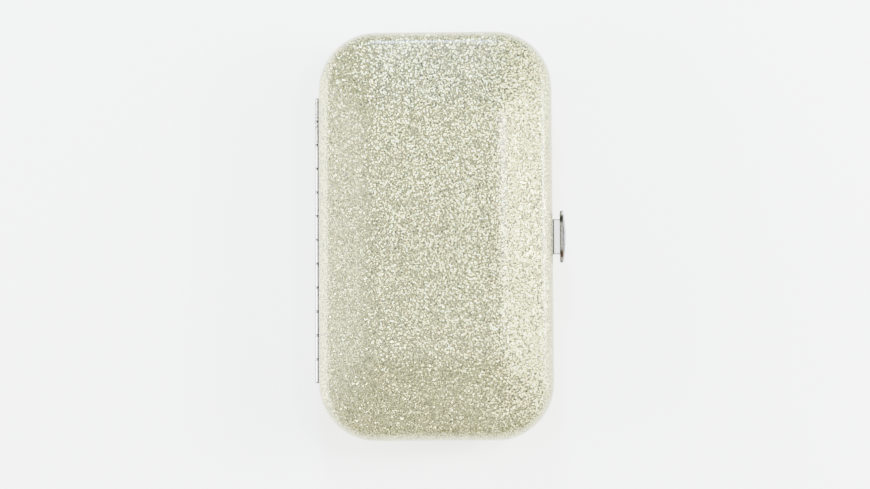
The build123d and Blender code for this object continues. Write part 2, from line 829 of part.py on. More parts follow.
nodes = {
    "lid_cover": as_lid(cover),
    "base_cover": as_base(cover),
    "lid_shell": as_lid(shell),
    "base_shell": as_base(shell),
    "lid_frame": lid_frame,
    "base_frame": base_frame,
    "lid_liner": as_lid(liner),
    "base_liner": as_base(liner),
    "lid_board": as_lid(board),
    "base_board": as_base(board),
    "lid_hinge_leaf": make_leaf(1, 1),
    "base_hinge_leaf": make_leaf(0, -1),
    "hinge_pin": make_hinge_pin(),
    "latch_slider": in_place(make_latch_slider()),
    "latch_button": in_place(make_latch_button()),
    "latch_housing": in_place(make_latch_housing()),
    "latch_spring": in_place(make_latch_spring()),
    "latch_rivets": Compound(children=make_rivets(latch_rivet_place)),
    "keeper": in_place(make_keeper()),
    "keeper_rivets": Compound(children=make_rivets(keeper_rivet_place)),
    "clipper_lower_jaw": on_base(make_clipper_lower_jaw(), clipper_x, clipper_y, clipper_lift),
    "clipper_upper_jaw": on_base(make_clipper_upper_jaw(), clipper_x, clipper_y, clipper_lift),
    "clipper_lever": on_base(make_clipper_lever(), clipper_x, clipper_y, clipper_lift),
    "clipper_pin": on_base(make_clipper_pin(), clipper_x, clipper_y, clipper_lift),
    "tweezers": on_base(make_tweezers(), tweezers_x, 0, 0),
    "file_blade": on_base(make_file_blade(), file_x, 0, 0),
    "file_handle": on_base(make_file_handle(), file_x, 0, 0),
    "cuticle_pusher": on_base(make_cuticle_pusher(), pusher_x, 0, 0),
    "base_elastic": on_base(make_band(base_humps), 0, base_band_y, 0),
    "scissors_left": on_lid(upper_half, 0, 0, scissors_lift),
    "scissors_right": on_lid(lower_half, 0, 0, scissors_lift),
    "scissors_screw": on_lid(make_scissors_screw(), 0, 0, scissors_lift),
    "lid_elastic": on_lid(make_band(lid_humps), 0, lid_band_y, 0),
}

os.makedirs("parts", exist_ok=True)
for name, shape in nodes.items():
    export_step(shape, f"parts/{name}.step")
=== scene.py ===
import json
import math

import bmesh
import bpy
from mathutils import Matrix, Vector
from mathutils.geometry import convex_hull_2d


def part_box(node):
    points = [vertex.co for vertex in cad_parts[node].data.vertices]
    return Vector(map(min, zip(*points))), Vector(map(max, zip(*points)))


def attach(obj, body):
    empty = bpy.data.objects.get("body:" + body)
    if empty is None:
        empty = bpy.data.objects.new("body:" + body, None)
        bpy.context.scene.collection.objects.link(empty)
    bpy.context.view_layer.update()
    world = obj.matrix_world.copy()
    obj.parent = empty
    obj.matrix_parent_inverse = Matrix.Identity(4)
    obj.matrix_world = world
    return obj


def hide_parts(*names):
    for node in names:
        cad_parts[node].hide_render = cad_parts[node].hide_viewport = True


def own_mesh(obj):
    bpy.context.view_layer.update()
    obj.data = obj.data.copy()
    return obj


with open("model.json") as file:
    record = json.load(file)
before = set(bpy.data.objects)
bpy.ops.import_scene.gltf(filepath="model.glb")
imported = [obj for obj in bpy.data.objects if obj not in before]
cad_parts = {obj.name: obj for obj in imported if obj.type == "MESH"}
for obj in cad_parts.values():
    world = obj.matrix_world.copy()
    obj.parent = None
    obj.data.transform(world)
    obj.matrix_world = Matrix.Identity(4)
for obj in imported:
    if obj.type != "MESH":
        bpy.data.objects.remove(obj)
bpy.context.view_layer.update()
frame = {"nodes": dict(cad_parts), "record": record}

MM = 0.001
NEAR = 0.01 * MM  # two places closer than this are taken as the same

# The photograph: its frame, and where the case's body lies in it
PHOTO_WIDTH_PX = 870
PHOTO_HEIGHT_PX = 489
BODY_MIDDLE_PX = (436.2, 236.1)
BODY_WIDTH_PX = 232.6
BODY_WIDTH = 65.0 * MM

# Camera: almost straight above, a little towards the case's bottom end and its right
CAMERA_DISTANCE = 0.62
CAMERA_LEAN_DOWN = math.radians(4.5)
CAMERA_LEAN_RIGHT = math.radians(1.5)
CAMERA_ROLL = math.radians(0.3)
SENSOR_WIDTH = 36.0
CAMERA_REACH = 10.0

# Studio surroundings: (height of the direction, shade)
WORLD_SHADES = ((0.0, 0.12), (0.6, 0.14), (0.8, 0.24), (0.9, 0.52), (0.98, 1.0))
WORLD_STRENGTH = 3.2
WORLD_STRETCH = 3.0  # the bright patch overhead is this much longer across the case than along it
WORLD_LEAN = math.radians(0.5)  # towards the top end

# Studio floor
FLOOR_SIZE = 3.0
FLOOR_GAP = 0.02 * MM  # so that it doesn't share a plane with the case's underside
FLOOR_GLOW = 2.0

# Studio lamps: name, place, size, radiance, colour
LAMP_TARGET = (0, 0, 12 * MM)
LAMPS = (
    ("sparkle", (0.33, 0.13, 0.75), (0.1, 0.1), 130.0, (1.0, 1.0, 1.0)),
    ("right", (0.59, 0.07, 0.27), (0.65, 0.4), 10.5, (1.0, 1.0, 1.0)),
    ("right_sparkle", (0.56, 0.07, 0.33), (0.12, 0.1), 150.0, (1.0, 1.0, 1.0)),
    ("left", (-0.6, 0.0, 0.18), (0.7, 0.28), 26.0, (1.0, 1.0, 1.0)),
    ("top_end", (-0.03, 0.48, 0.42), (0.09, 0.1), 210.0, (0.6, 0.78, 1.0)),
    ("bottom_end", (0.0, -0.62, 0.2), (0.5, 0.3), 1.5, (1.0, 0.92, 0.78)),
)

# Glitter
FLAKE_SIZE = 0.17 * MM
FLAKE_TILT = 1.15
FLAKE_SPREAD = 0.4  # a lower value lets more flakes lie flat

# Metal
SIDE_FACING = (0.5, 0.92)  # painted shade on metal that faces sideways; the normal's upright part: a side up to the first, level from the second
# colour of the painted shade on metal sides
SIDE_SHADE_COLOUR = (0.13, 0.13, 0.128)
# colours of painted shade in gaps and at joins; the brownish one below the catch's neck
PAINTED_SHADE_COLOUR = (0.015, 0.015, 0.015)
BROWN_SHADE_COLOUR = (0.04, 0.025, 0.018)
EDGE_TINT = (0.3, 0.3, 0.3, 1.0)  # at a glancing view
KNUCKLE_COUNT = 12
SEAM_X = -BODY_WIDTH / 2 - 0.35 * MM  # where the hinge's barrel meets the case

# Painted shade and tarnish on the metal: fully dark up to the first distance, clear from the second
GAP_SHADE = (0.28 * MM, 0.45 * MM)  # painted shade in the gap between two knuckles, from the gap's middle
SEAM_SHADE = (0.14 * MM, 0.26 * MM)  # painted shade along the seam, from SEAM_X
EDGE_SHADE = (0.2 * MM, 0.42 * MM)  # painted shade along the catch's neck, from the neck's edges
ENTRY_SHADE = (0.35 * MM, 0.6 * MM)  # painted shade on the neck, from the wall that it comes out of
NECK_JOIN_SHADE = (0.7 * MM, 1.5 * MM)  # painted shade on the button where the neck meets it, from the neck's edges
TARNISH_END = (1.7, 2.3)  # from the hinge's top end, in knuckles

# Nodes whose finish isn't their slot's
OWN_FINISH = {
    "latch_button": "satin_steel",
    "latch_slider": "neck_steel",
    "hinge_pin": "blackened_steel",
    "lid_hinge_leaf": "hinge_steel",
    "base_hinge_leaf": "hinge_steel",
}

# Points round the outline of a board or a lining
OUTLINE_POINTS = 240

# Flocked boards: (inset, drop) of the rolled edge in mm, then the rings' shares of the way out
BOARD_EDGE_ROLL = ((0.0, 1.0), (0.0, 0.5), (0.08, 0.26), (0.25, 0.1), (0.5, 0.03), (0.9, 0.0))
BOARD_RING_SHARES = (0.97, 0.94, 0.9, 0.85, 0.79, 0.72, 0.64, 0.55, 0.45, 0.34, 0.22, 0.1, 0.0)
BOARD_MERGE = 0.02 * MM
TACK_DIMPLE_DEPTH = 0.3 * MM
TACK_DIMPLE_WIDTH = 2.2 * MM

# Linings: how far out their lines lie is counted in thicknesses
LINER_WALL = 0.8 * MM
LINING_THICKNESS = 0.7 * MM
LINING_LIP_DROP = 0.3 * MM
LINING_LIP = ((0.9, 2.2), (0.9, 0.6), (0.7, 0.1), (0.4, 0.0), (0.12, 0.3), (0.0, 1.0))  # out, lip drops
LINING_BULGE = 0.3 * MM
LINING_FOOT_DEPTH = 0.7 * MM
LINING_BACK_FOOT = 0.9  # out, of the back at the foot
LINING_BACK_MIDDLE = 1.4  # out, of the back half way up
LINING_FRONT = 0.3  # a line less far out than this has the puckers
LINING_PUCKER = 0.05 * MM
LINING_PUCKER_COUNT = 46
LINING_PUCKER_SWELL = (7, 1.0)  # how often the puckers swell and fade, and the phase

# Elastic bands
BAND_MIN_THICKNESS = 0.1 * MM  # of the CAD band
BAND_HALF_THICKNESS = 0.33 * MM
BAND_RIB_COUNT = 11
BAND_RIB_HEIGHT = 0.05 * MM
BAND_RIB_POINTS = 4
BAND_EDGE_ROUND = 0.3 * MM
BAND_EDGE_CORNER = (0.8, 0.5)  # shares of the rounding and of the half thickness
BAND_BEND = 0.9 * MM
BAND_BEND_POINTS = 6
STITCH_COUNT = 4
STITCH_FILL = 0.72
STITCH_RADIUS = 0.13 * MM
STITCH_DIVE = 2.2  # how far a stitch's ends lie under its middle, in radii
STITCH_SIDES = 8
STITCH_POINTS = 7

# Catch spring
SPRING_WIRE = 0.36 * MM
SPRING_TURNS = 4
SPRING_TURN_POINTS = 24
SPRING_SIDES = 10


# ---------------------------------------------------------------- materials
def set_stops(ramp, stops):
    """Gives a colour ramp its stops. Each stop is (position, (r, g, b))."""
    elements = ramp.color_ramp.elements
    while len(elements) < len(stops):
        elements.new(0.5)
    for element, (position, colour) in zip(elements, stops):
        element.position = position
        element.color = (*colour, 1.0)


class Shader:
    """One procedural material, built node by node around a Principled surface."""

    def __init__(self, name, **constants):
        self.material = bpy.data.materials.new(name)
        self.material.use_nodes = True
        self.tree = self.material.node_tree
        self.surface = self.tree.nodes["Principled BSDF"]
        for socket, value in constants.items():
            self.surface.inputs[socket.replace("_", " ")].default_value = value
        coordinates = self.tree.nodes.new("ShaderNodeTexCoord")
        self.place = coordinates.outputs["Object"]
        self.object_normal = coordinates.outputs["Normal"]

    def wire(self, source, target):
        self.tree.links.new(source, target)

    def fill(self, socket, value):
        """Sets a socket from another socket or from a constant."""
        if isinstance(value, bpy.types.NodeSocket):
            self.wire(value, socket)
        else:
            socket.default_value = value

    def math(self, operation, a, b=0.0):
        node = self.tree.nodes.new("ShaderNodeMath")
        node.operation = operation
        self.fill(node.inputs[0], a)
        self.fill(node.inputs[1], b)
        return node.outputs[0]

    def axis(self, letter):
        """The place on the part, along one axis."""
        node = self.tree.nodes.new("ShaderNodeSeparateXYZ")
        self.wire(self.place, node.inputs["Vector"])
        return node.outputs[letter]

    def scaled(self, factors):
        """The place on the part, stretched by a factor along each axis."""
        node = self.tree.nodes.new("ShaderNodeMapping")
        self.wire(self.place, node.inputs["Vector"])
        node.inputs["Scale"].default_value = factors
        return node.outputs["Vector"]

    def noise(self, size, detail=3.0, vector=None):
        node = self.tree.nodes.new("ShaderNodeTexNoise")
        self.wire(vector or self.place, node.inputs["Vector"])
        node.inputs["Scale"].default_value = 1.0 / size
        node.inputs["Detail"].default_value = detail
        return node.outputs["Fac"]

    def cells(self, size):
        """A random colour for each small cell."""
        node = self.tree.nodes.new("ShaderNodeTexVoronoi")
        self.wire(self.place, node.inputs["Vector"])
        node.inputs["Scale"].default_value = 1.0 / size
        return node.outputs["Color"]

    def channels(self, colour):
        node = self.tree.nodes.new("ShaderNodeSeparateColor")
        self.wire(colour, node.inputs["Color"])
        return node.outputs

    def ramp(self, factor, *stops):
        """Colours along a factor. Each stop is (position, (r, g, b))."""
        node = self.tree.nodes.new("ShaderNodeValToRGB")
        self.wire(factor, node.inputs["Fac"])
        set_stops(node, stops)
        return node.outputs["Color"]

    def remap(self, value, low, high, to_low, to_high):
        node = self.tree.nodes.new("ShaderNodeMapRange")
        self.fill(node.inputs["Value"], value)
        node.inputs["From Min"].default_value = low
        node.inputs["From Max"].default_value = high
        node.inputs["To Min"].default_value = to_low
        node.inputs["To Max"].default_value = to_high
        return node.outputs["Result"]

    def mix(self, factor, a, b, blend="MIX"):
        node = self.tree.nodes.new("ShaderNodeMix")
        node.data_type = "RGBA"
        node.blend_type = blend
        self.fill(node.inputs["Factor"], factor)
        for key, value in (("A", a), ("B", b)):
            socket = next(s for s in node.inputs if s.name == key and s.type == "RGBA")
            self.fill(socket, value if isinstance(value, bpy.types.NodeSocket) else (*value, 1.0))
        return next(s for s in node.outputs if s.type == "RGBA")

    def vector_math(self, operation, a, b=None, scale=None):
        node = self.tree.nodes.new("ShaderNodeVectorMath")
        node.operation = operation
        self.fill(node.inputs[0], a)
        if b is not None:
            self.fill(node.inputs[1], b)
        if scale is not None:
            self.fill(node.inputs["Scale"], scale)
        return node.outputs["Vector"]

    def bump(self, height, depth, strength=1.0):
        node = self.tree.nodes.new("ShaderNodeBump")
        node.inputs["Strength"].default_value = strength
        node.inputs["Distance"].default_value = depth
        self.wire(height, node.inputs["Height"])
        return node.outputs["Normal"]

    def painted_side_shade(self, colour):
        """A metal's colour, with painted shade where the surface faces sideways."""
        normal = self.tree.nodes.new("ShaderNodeSeparateXYZ")
        self.wire(self.object_normal, normal.inputs["Vector"])
        facing = self.remap(self.math("ABSOLUTE", normal.outputs["Z"]), *SIDE_FACING, 0.0, 1.0)
        return self.mix(facing, SIDE_SHADE_COLOUR, colour)

    def colour(self, socket):
        self.wire(socket, self.surface.inputs["Base Color"])

    def roughness(self, socket):
        self.wire(socket, self.surface.inputs["Roughness"])

    def normal(self, socket):
        self.wire(socket, self.surface.inputs["Normal"])


def glitter_skin():
    """Champagne glitter under a clear film: small tilted flakes, among them dark and white ones."""
    s = Shader("glitter_skin", Metallic=0.9, Coat_Weight=0.3, Coat_Roughness=0.22, Coat_IOR=1.8)
    flake = s.channels(s.cells(FLAKE_SIZE))
    shade = s.ramp(
        flake["Red"],
        (0.00, (0.02, 0.02, 0.014)),
        (0.12, (0.08, 0.08, 0.055)),
        (0.25, (0.27, 0.27, 0.14)),
        (0.65, (0.40, 0.40, 0.175)),
        (0.90, (0.58, 0.58, 0.225)),
        (1.00, (0.85, 0.85, 0.34)),
    )
    patches = s.ramp(s.noise(7 * MM, 2.0), (0.35, (0.95, 0.98, 0.93)), (0.65, (1.0, 0.99, 0.97)))
    s.colour(s.mix(1.0, shade, patches, "MULTIPLY"))
    tilt = s.vector_math("SUBTRACT", s.cells(FLAKE_SIZE), (0.5, 0.5, 0.5))
    steeper = s.vector_math("ADD", s.vector_math("ABSOLUTE", tilt), (FLAKE_SPREAD,) * 3)
    tilt = s.vector_math("SCALE", s.vector_math("MULTIPLY", tilt, steeper), scale=FLAKE_TILT)
    straight = s.tree.nodes.new("ShaderNodeNewGeometry").outputs["Normal"]
    s.normal(s.vector_math("NORMALIZE", s.vector_math("ADD", straight, tilt)))
    s.roughness(s.remap(flake["Green"], 0.0, 1.0, 0.06, 0.16))
    return s.material


def plated_steel():
    """Bright nickel plate with faint clouding and hairline scratches, and painted shade round its sides."""
    s = Shader("plated_steel", Metallic=1.0)
    cloud = s.noise(3 * MM, 4.0)
    s.colour(s.painted_side_shade(s.ramp(cloud, (0.3, (0.66, 0.655, 0.645)), (0.7, (0.76, 0.755, 0.745)))))
    hairs = s.noise(0.4 * MM, 3.0, s.scaled((0.15, 1.0, 1.0)))
    s.roughness(s.remap(s.math("ADD", cloud, hairs), 0.7, 1.3, 0.05, 0.12))
    s.normal(s.bump(hairs, 0.002 * MM, 0.4))
    return s.material


def satin_steel():
    """Satin nickel of the push button, with painted shade on its outer side and at the neck's edges,
    brownish below the neck.
    """
    s = Shader("satin_steel", Metallic=1.0, Specular_Tint=EDGE_TINT)
    wear = s.noise(1.2 * MM, 4.0)
    low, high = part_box("latch_button")
    half_way = (low[0] + high[0]) / 2
    two_thirds = (low[0] + 2 * high[0]) / 3
    # painted shade towards the button's outer side
    outer = s.remap(s.axis("X"), half_way, two_thirds, 0.0, 1.0)
    inner_tone = s.ramp(wear, (0.3, (0.13, 0.128, 0.125)), (0.7, (0.24, 0.236, 0.23)))
    neck_low, neck_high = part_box("latch_slider")
    from_middle = s.math("SUBTRACT", s.axis("Y"), (neck_low[1] + neck_high[1]) / 2)
    from_edge = s.math("SUBTRACT", s.math("ABSOLUTE", from_middle), (neck_high[1] - neck_low[1]) / 2)
    # painted shade where the neck meets the button, brownish below the neck
    clear_of_shade = s.remap(s.math("ABSOLUTE", from_edge), *NECK_JOIN_SHADE, 0.0, 1.0)
    lower = s.remap(from_middle, -MM, MM, 1.0, 0.0)
    outer_shade_tone = s.ramp(wear, (0.3, (0.06, 0.06, 0.058)), (0.7, (0.10, 0.10, 0.097)))
    inner_tone = s.mix(clear_of_shade, s.mix(lower, PAINTED_SHADE_COLOUR, BROWN_SHADE_COLOUR), inner_tone)
    s.colour(s.painted_side_shade(s.mix(outer, inner_tone, outer_shade_tone)))
    s.roughness(s.remap(wear, 0.3, 0.7, 0.30, 0.18))
    s.normal(s.bump(s.noise(0.3 * MM, 3.0), 0.004 * MM, 0.5))
    return s.material


def hinge_steel():
    """Nickel-plated hinge leaves, with painted shade in the gaps, along the seam and round the sides, and
    tarnish at the top end.
    """
    s = Shader("hinge_steel", Metallic=1.0, Specular_Tint=EDGE_TINT)
    low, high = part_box("hinge_pin")
    pitch = (high[1] - low[1]) / KNUCKLE_COUNT
    along = s.axis("Y")
    turn = s.math("FRACT", s.math("DIVIDE", s.math("SUBTRACT", along, low[1]), pitch))
    from_gap = s.math("SUBTRACT", 0.5, s.math("ABSOLUTE", s.math("SUBTRACT", turn, 0.5)))
    # painted shade in the gaps between knuckles
    clear_of_shade = s.remap(from_gap, GAP_SHADE[0] / pitch, GAP_SHADE[1] / pitch, 0.0, 1.0)
    cloud = s.noise(1.1 * MM, 4.0)
    plate = s.ramp(cloud, (0.3, (0.62, 0.615, 0.605)), (0.7, (0.76, 0.755, 0.745)))
    tarnish = s.ramp(s.noise(0.5 * MM, 4.0), (0.4, (0.10, 0.10, 0.09)), (0.6, (0.55, 0.54, 0.50)))
    worn = s.remap(along, high[1] - TARNISH_END[1] * pitch, high[1] - TARNISH_END[0] * pitch, 0.0, 1.0)
    from_seam = s.math("ABSOLUTE", s.math("SUBTRACT", s.axis("X"), SEAM_X))
    # painted shade along the seam where the barrel meets the case
    clear_of_shade = s.math("MINIMUM", clear_of_shade, s.remap(from_seam, *SEAM_SHADE, 0.0, 1.0))
    s.colour(s.mix(clear_of_shade, PAINTED_SHADE_COLOUR, s.painted_side_shade(s.mix(worn, plate, tarnish))))
    s.roughness(s.math("MAXIMUM", s.remap(cloud, 0.3, 0.7, 0.08, 0.2), s.remap(clear_of_shade, 0.0, 1.0, 0.8, 0.0)))
    return s.material


def neck_steel():
    """Nickel plate of the slider, with painted shade along the neck's edges, where it enters the case and
    round its sides.
    """
    s = Shader("neck_steel", Metallic=1.0)
    low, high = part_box("latch_slider")
    edge = s.math("ABSOLUTE", s.math("SUBTRACT", s.axis("Y"), (low[1] + high[1]) / 2))
    half_width = (high[1] - low[1]) / 2
    # painted shade along the neck's edges
    inside = s.remap(edge, half_width - EDGE_SHADE[1], half_width - EDGE_SHADE[0], 1.0, 0.0)
    from_wall = s.math("ABSOLUTE", s.math("SUBTRACT", s.axis("X"), BODY_WIDTH / 2))
    # painted shadow of the case wall on the neck
    outside = s.remap(from_wall, *ENTRY_SHADE, 0.0, 1.0)
    cloud = s.noise(3 * MM, 4.0)
    plate = s.painted_side_shade(s.ramp(cloud, (0.3, (0.90, 0.895, 0.885)), (0.7, (0.97, 0.965, 0.955))))
    s.colour(s.mix(s.math("MINIMUM", inside, outside), PAINTED_SHADE_COLOUR, plate))
    s.roughness(s.remap(cloud, 0.3, 0.7, 0.06, 0.12))
    return s.material


def blackened_steel():
    """Oiled black steel of the hinge pin."""
    s = Shader("blackened_steel", Metallic=1.0)
    oil = s.noise(0.8 * MM, 3.0)
    s.colour(s.ramp(oil, (0.3, (0.025, 0.025, 0.027)), (0.7, (0.06, 0.06, 0.062))))
    s.roughness(s.remap(oil, 0.3, 0.7, 0.25, 0.4))
    return s.material


def tool_steel():
    """Polished stainless steel, ground along the tool's length, with painted shade round its sides."""
    s = Shader("tool_steel", Metallic=1.0)
    grind = s.noise(0.35 * MM, 4.0, s.scaled((1.0, 0.05, 1.0)))
    s.colour(s.painted_side_shade(s.ramp(grind, (0.3, (0.42, 0.42, 0.42)), (0.7, (0.56, 0.56, 0.555)))))
    s.roughness(s.remap(grind, 0.3, 0.7, 0.16, 0.30))
    s.normal(s.bump(grind, 0.006 * MM, 0.6))
    return s.material


def file_steel():
    """Steel blade with a grit of hard crystals."""
    s = Shader("file_steel", Metallic=1.0)
    grit = s.channels(s.cells(0.22 * MM))
    s.colour(s.ramp(
        grit["Red"],
        (0.0, (0.20, 0.20, 0.21)),
        (0.6, (0.42, 0.42, 0.42)),
        (1.0, (0.85, 0.85, 0.85)),
    ))
    s.roughness(s.remap(grit["Green"], 0.0, 1.0, 0.25, 0.6))
    s.normal(s.bump(grit["Blue"], 0.08 * MM, 0.9))
    return s.material


def spring_steel():
    """Drawn wire."""
    s = Shader("spring_steel", Metallic=1.0)
    drawn = s.noise(0.2 * MM, 3.0)
    s.colour(s.ramp(drawn, (0.3, (0.48, 0.48, 0.48)), (0.7, (0.62, 0.62, 0.62))))
    s.roughness(s.remap(drawn, 0.3, 0.7, 0.2, 0.35))
    return s.material


def shell_plastic():
    """Plain moulded board under the covering."""
    s = Shader("shell_plastic", IOR=1.48)
    grain = s.noise(0.5 * MM, 4.0)
    s.colour(s.ramp(grain, (0.3, (0.028, 0.028, 0.03)), (0.7, (0.045, 0.045, 0.047))))
    s.roughness(s.remap(grain, 0.3, 0.7, 0.5, 0.65))
    s.normal(s.bump(grain, 0.02 * MM, 0.6))
    return s.material


def handle_plastic():
    """Black moulded grip with a light sheen and faint swirls."""
    s = Shader("handle_plastic", IOR=1.5, Coat_Weight=0.4, Coat_Roughness=0.15)
    grain = s.noise(0.6 * MM, 4.0)
    s.colour(s.ramp(grain, (0.3, (0.012, 0.012, 0.013)), (0.7, (0.028, 0.027, 0.028))))
    s.roughness(s.remap(grain, 0.3, 0.7, 0.28, 0.42))
    s.normal(s.bump(grain, 0.01 * MM, 0.5))
    return s.material


def lining():
    """Black flock: a short pile that is brushed in soft patches."""
    s = Shader("lining", Roughness=0.95, Sheen_Weight=0.12, Sheen_Roughness=0.45, Specular_IOR_Level=0.1)
    pile = s.noise(0.18 * MM, 5.0)
    brushed = s.noise(7 * MM, 3.0)
    dark = s.ramp(pile, (0.3, (0.003, 0.003, 0.0035)), (0.75, (0.013, 0.013, 0.014)))
    light = s.ramp(pile, (0.3, (0.006, 0.006, 0.0065)), (0.75, (0.024, 0.023, 0.024)))
    s.colour(s.mix(s.remap(brushed, 0.35, 0.65, 0.0, 1.0), dark, light))
    s.normal(s.bump(pile, 0.12 * MM, 0.8))
    return s.material


def elastic():
    """Woven elastic: fine cross threads over rubber cords, a little lighter where they stand up."""
    s = Shader("elastic", Roughness=0.8, Sheen_Weight=0.15, Sheen_Roughness=0.4, Specular_IOR_Level=0.3)
    cross = s.noise(0.14 * MM, 2.0, s.scaled((1.0, 0.25, 0.25)))
    wear = s.noise(2.5 * MM, 3.0)
    height = s.math("ADD", s.math("MULTIPLY", cross, 0.8), s.math("MULTIPLY", wear, 0.2))
    s.colour(s.ramp(height, (0.3, (0.008, 0.008, 0.008)), (0.7, (0.045, 0.044, 0.045))))
    s.normal(s.bump(cross, 0.05 * MM, 0.9))
    return s.material


def thread():
    """Black twisted sewing thread."""
    s = Shader("thread", Roughness=0.6, Sheen_Weight=0.2)
    twist = s.noise(0.15 * MM, 2.0)
    s.colour(s.ramp(twist, (0.3, (0.02, 0.02, 0.02)), (0.7, (0.09, 0.09, 0.09))))
    s.normal(s.bump(twist, 0.03 * MM, 0.8))
    return s.material


def studio_paper():
    """The pale floor, which glows faintly, as over a light table."""
    s = Shader(
        "studio_paper",
        Roughness=0.9,
        Emission_Color=(1.0, 1.0, 1.0, 1.0),
        Emission_Strength=FLOOR_GLOW,
    )
    grain = s.noise(1.5 * MM, 2.0)
    s.colour(s.ramp(grain, (0.3, (0.93, 0.93, 0.93)), (0.7, (0.95, 0.95, 0.95))))
    return s.material


materials = {
    make.__name__: make()
    for make in (
        glitter_skin,
        plated_steel,
        satin_steel,
        hinge_steel,
        neck_steel,
        blackened_steel,
        tool_steel,
        file_steel,
        spring_steel,
        shell_plastic,
        handle_plastic,
        lining,
        elastic,
        thread,
        studio_paper,
    )
}


# ---------------------------------------------------------------- carried-over nodes
def finish_cad_nodes():
    """Gives every CAD node its own finish, or else the material of its slot."""
    for subpart in frame["record"]["subparts"]:
        finish = OWN_FINISH.get(subpart["node"], subpart["material_slot"])
        node = frame["nodes"][subpart["node"]]
        node.data.materials.clear()
        node.data.materials.append(materials[finish])


# ---------------------------------------------------------------- soft pieces
class Half:
    """One half of the case: where its board's face lies, and which way is out of the board."""

    def __init__(self, body):
        self.body = body
        self.board = body + "_board"
        self.liner = body + "_liner"
        self.elastic = body + "_elastic"
        low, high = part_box(self.board)
        self.up = -1 if body == "lid" else 1
        self.face_z = low[2] if body == "lid" else high[2]

    def height(self, z):
        """How far a place stands out of the board's face."""
        return (z - self.face_z) * self.up

    def place(self, x, y, height):
        """The point at a height over the board's face."""
        return Vector((x, y, self.face_z + self.up * height))


def new_piece(name, bm, body, material):
    """Turns a bmesh into a smooth piece that rides on a body."""
    bmesh.ops.recalc_face_normals(bm, faces=bm.faces)
    mesh = bpy.data.meshes.new(name)
    bm.to_mesh(mesh)
    bm.free()
    for polygon in mesh.polygons:
        polygon.use_smooth = True
    mesh.materials.append(materials[material])
    piece = bpy.data.objects.new(name, mesh)
    bpy.context.scene.collection.objects.link(piece)
    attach(piece, body)
    return piece


def add_ring(bm, points):
    return [bm.verts.new(point) for point in points]


def bridge(bm, ring_a, ring_b):
    """Quads between two rings of as many vertices."""
    for i in range(len(ring_a)):
        j = (i + 1) % len(ring_a)
        bm.faces.new((ring_a[i], ring_a[j], ring_b[j], ring_b[i]))


def add_tube(bm, rings):
    """A skin along a row of rings, closed at both ends."""
    for ring_a, ring_b in zip(rings, rings[1:]):
        bridge(bm, ring_a, ring_b)
    bm.faces.new(rings[0])
    bm.faces.new(rings[-1])


def outline_at(node, z):
    """The outer outline of a CAD node at a height, as corner points sorted round the middle."""
    points = [v.co.xy for v in frame["nodes"][node].data.vertices if abs(v.co.z - z) < NEAR]
    return sorted((points[i] for i in convex_hull_2d(points)), key=lambda p: math.atan2(p.y, p.x))


def even_points(corners, count):
    """Evenly spaced points along a closed line, from where it crosses the +X axis."""
    first = next(i for i, p in enumerate(corners) if p.y >= 0.0)
    before, after = corners[first - 1], corners[first]
    crossing = before.lerp(after, -before.y / (after.y - before.y))
    corners = [crossing] + corners[first:] + corners[:first] + [crossing]
    lengths = [(b - a).length for a, b in zip(corners, corners[1:])]
    step = sum(lengths) / count
    points = []
    travelled = 0.0
    index = 0
    for i in range(count):
        while index < len(lengths) - 1 and travelled + lengths[index] <= i * step:
            travelled += lengths[index]
            index += 1
        share = (i * step - travelled) / lengths[index]
        points.append(corners[index].lerp(corners[index + 1], share))
    return points


def moved_in(points, distance):
    """A closed line, moved towards its inside."""
    count = len(points)
    result = []
    for i, point in enumerate(points):
        along = (points[(i + 1) % count] - points[i - 1]).normalized()
        result.append(point + Vector((-along.y, along.x)) * distance)
    return result


def drawn_to_spine(points, share):
    """A closed line, drawn towards the middle line of its stadium shape."""
    half_width = max(p.x for p in points)
    spine_end = max(p.y for p in points) - half_width
    result = []
    for point in points:
        foot = Vector((0.0, max(-spine_end, min(spine_end, point.y))))
        result.append(foot + (point - foot) * share)
    return result


def band_shape(half):
    """The humps and the flat level of a CAD band: ((left, right, height), ...), level, ends and middle y."""
    mesh = frame["nodes"][half.elastic].data
    low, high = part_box(half.elastic)
    section = [v.co for v in mesh.vertices if abs(v.co.y - low[1]) < NEAR]
    edges = sorted({round(co.x, 6) for co in section})
    heights = [half.height(co.z) for co in section]
    bottom = min(heights)
    thickness = min(h for h in heights if h > bottom + BAND_MIN_THICKNESS) - bottom
    walls = [(a + b) / 2 for a, b in zip(edges[1:-1:2], edges[2:-1:2])]
    humps = []
    for left, right in zip(walls[::2], walls[1::2]):
        top = max(half.height(co.z) for co in section if left - MM < co.x < right + MM)
        humps.append((left, right, top - thickness / 2))
    return humps, bottom + thickness / 2, (edges[0], edges[-1]), (low[1], high[1])


def rounded(corners, radius, count):
    """A line whose inner corners are rounded, as points."""
    points = [corners[0]]
    for before, corner, after in zip(corners, corners[1:], corners[2:]):
        to_a = (before - corner).normalized()
        to_b = (after - corner).normalized()
        reach = min(radius, (before - corner).length / 2, (after - corner).length / 2)
        a = corner + to_a * reach
        b = corner + to_b * reach
        for k in range(count + 1):
            t = k / count
            points.append(a.lerp(corner, t).lerp(corner.lerp(b, t), t))
    points.append(corners[-1])
    return points


def tack_places(half):
    """Where a band is sewn to its board: at both ends and between each two humps."""
    humps, _, ends, _ = band_shape(half)
    lefts = [ends[0]] + [hump[1] for hump in humps]
    rights = [hump[0] for hump in humps] + [ends[1]]
    return [(a + b) / 2 for a, b in zip(lefts, rights)]


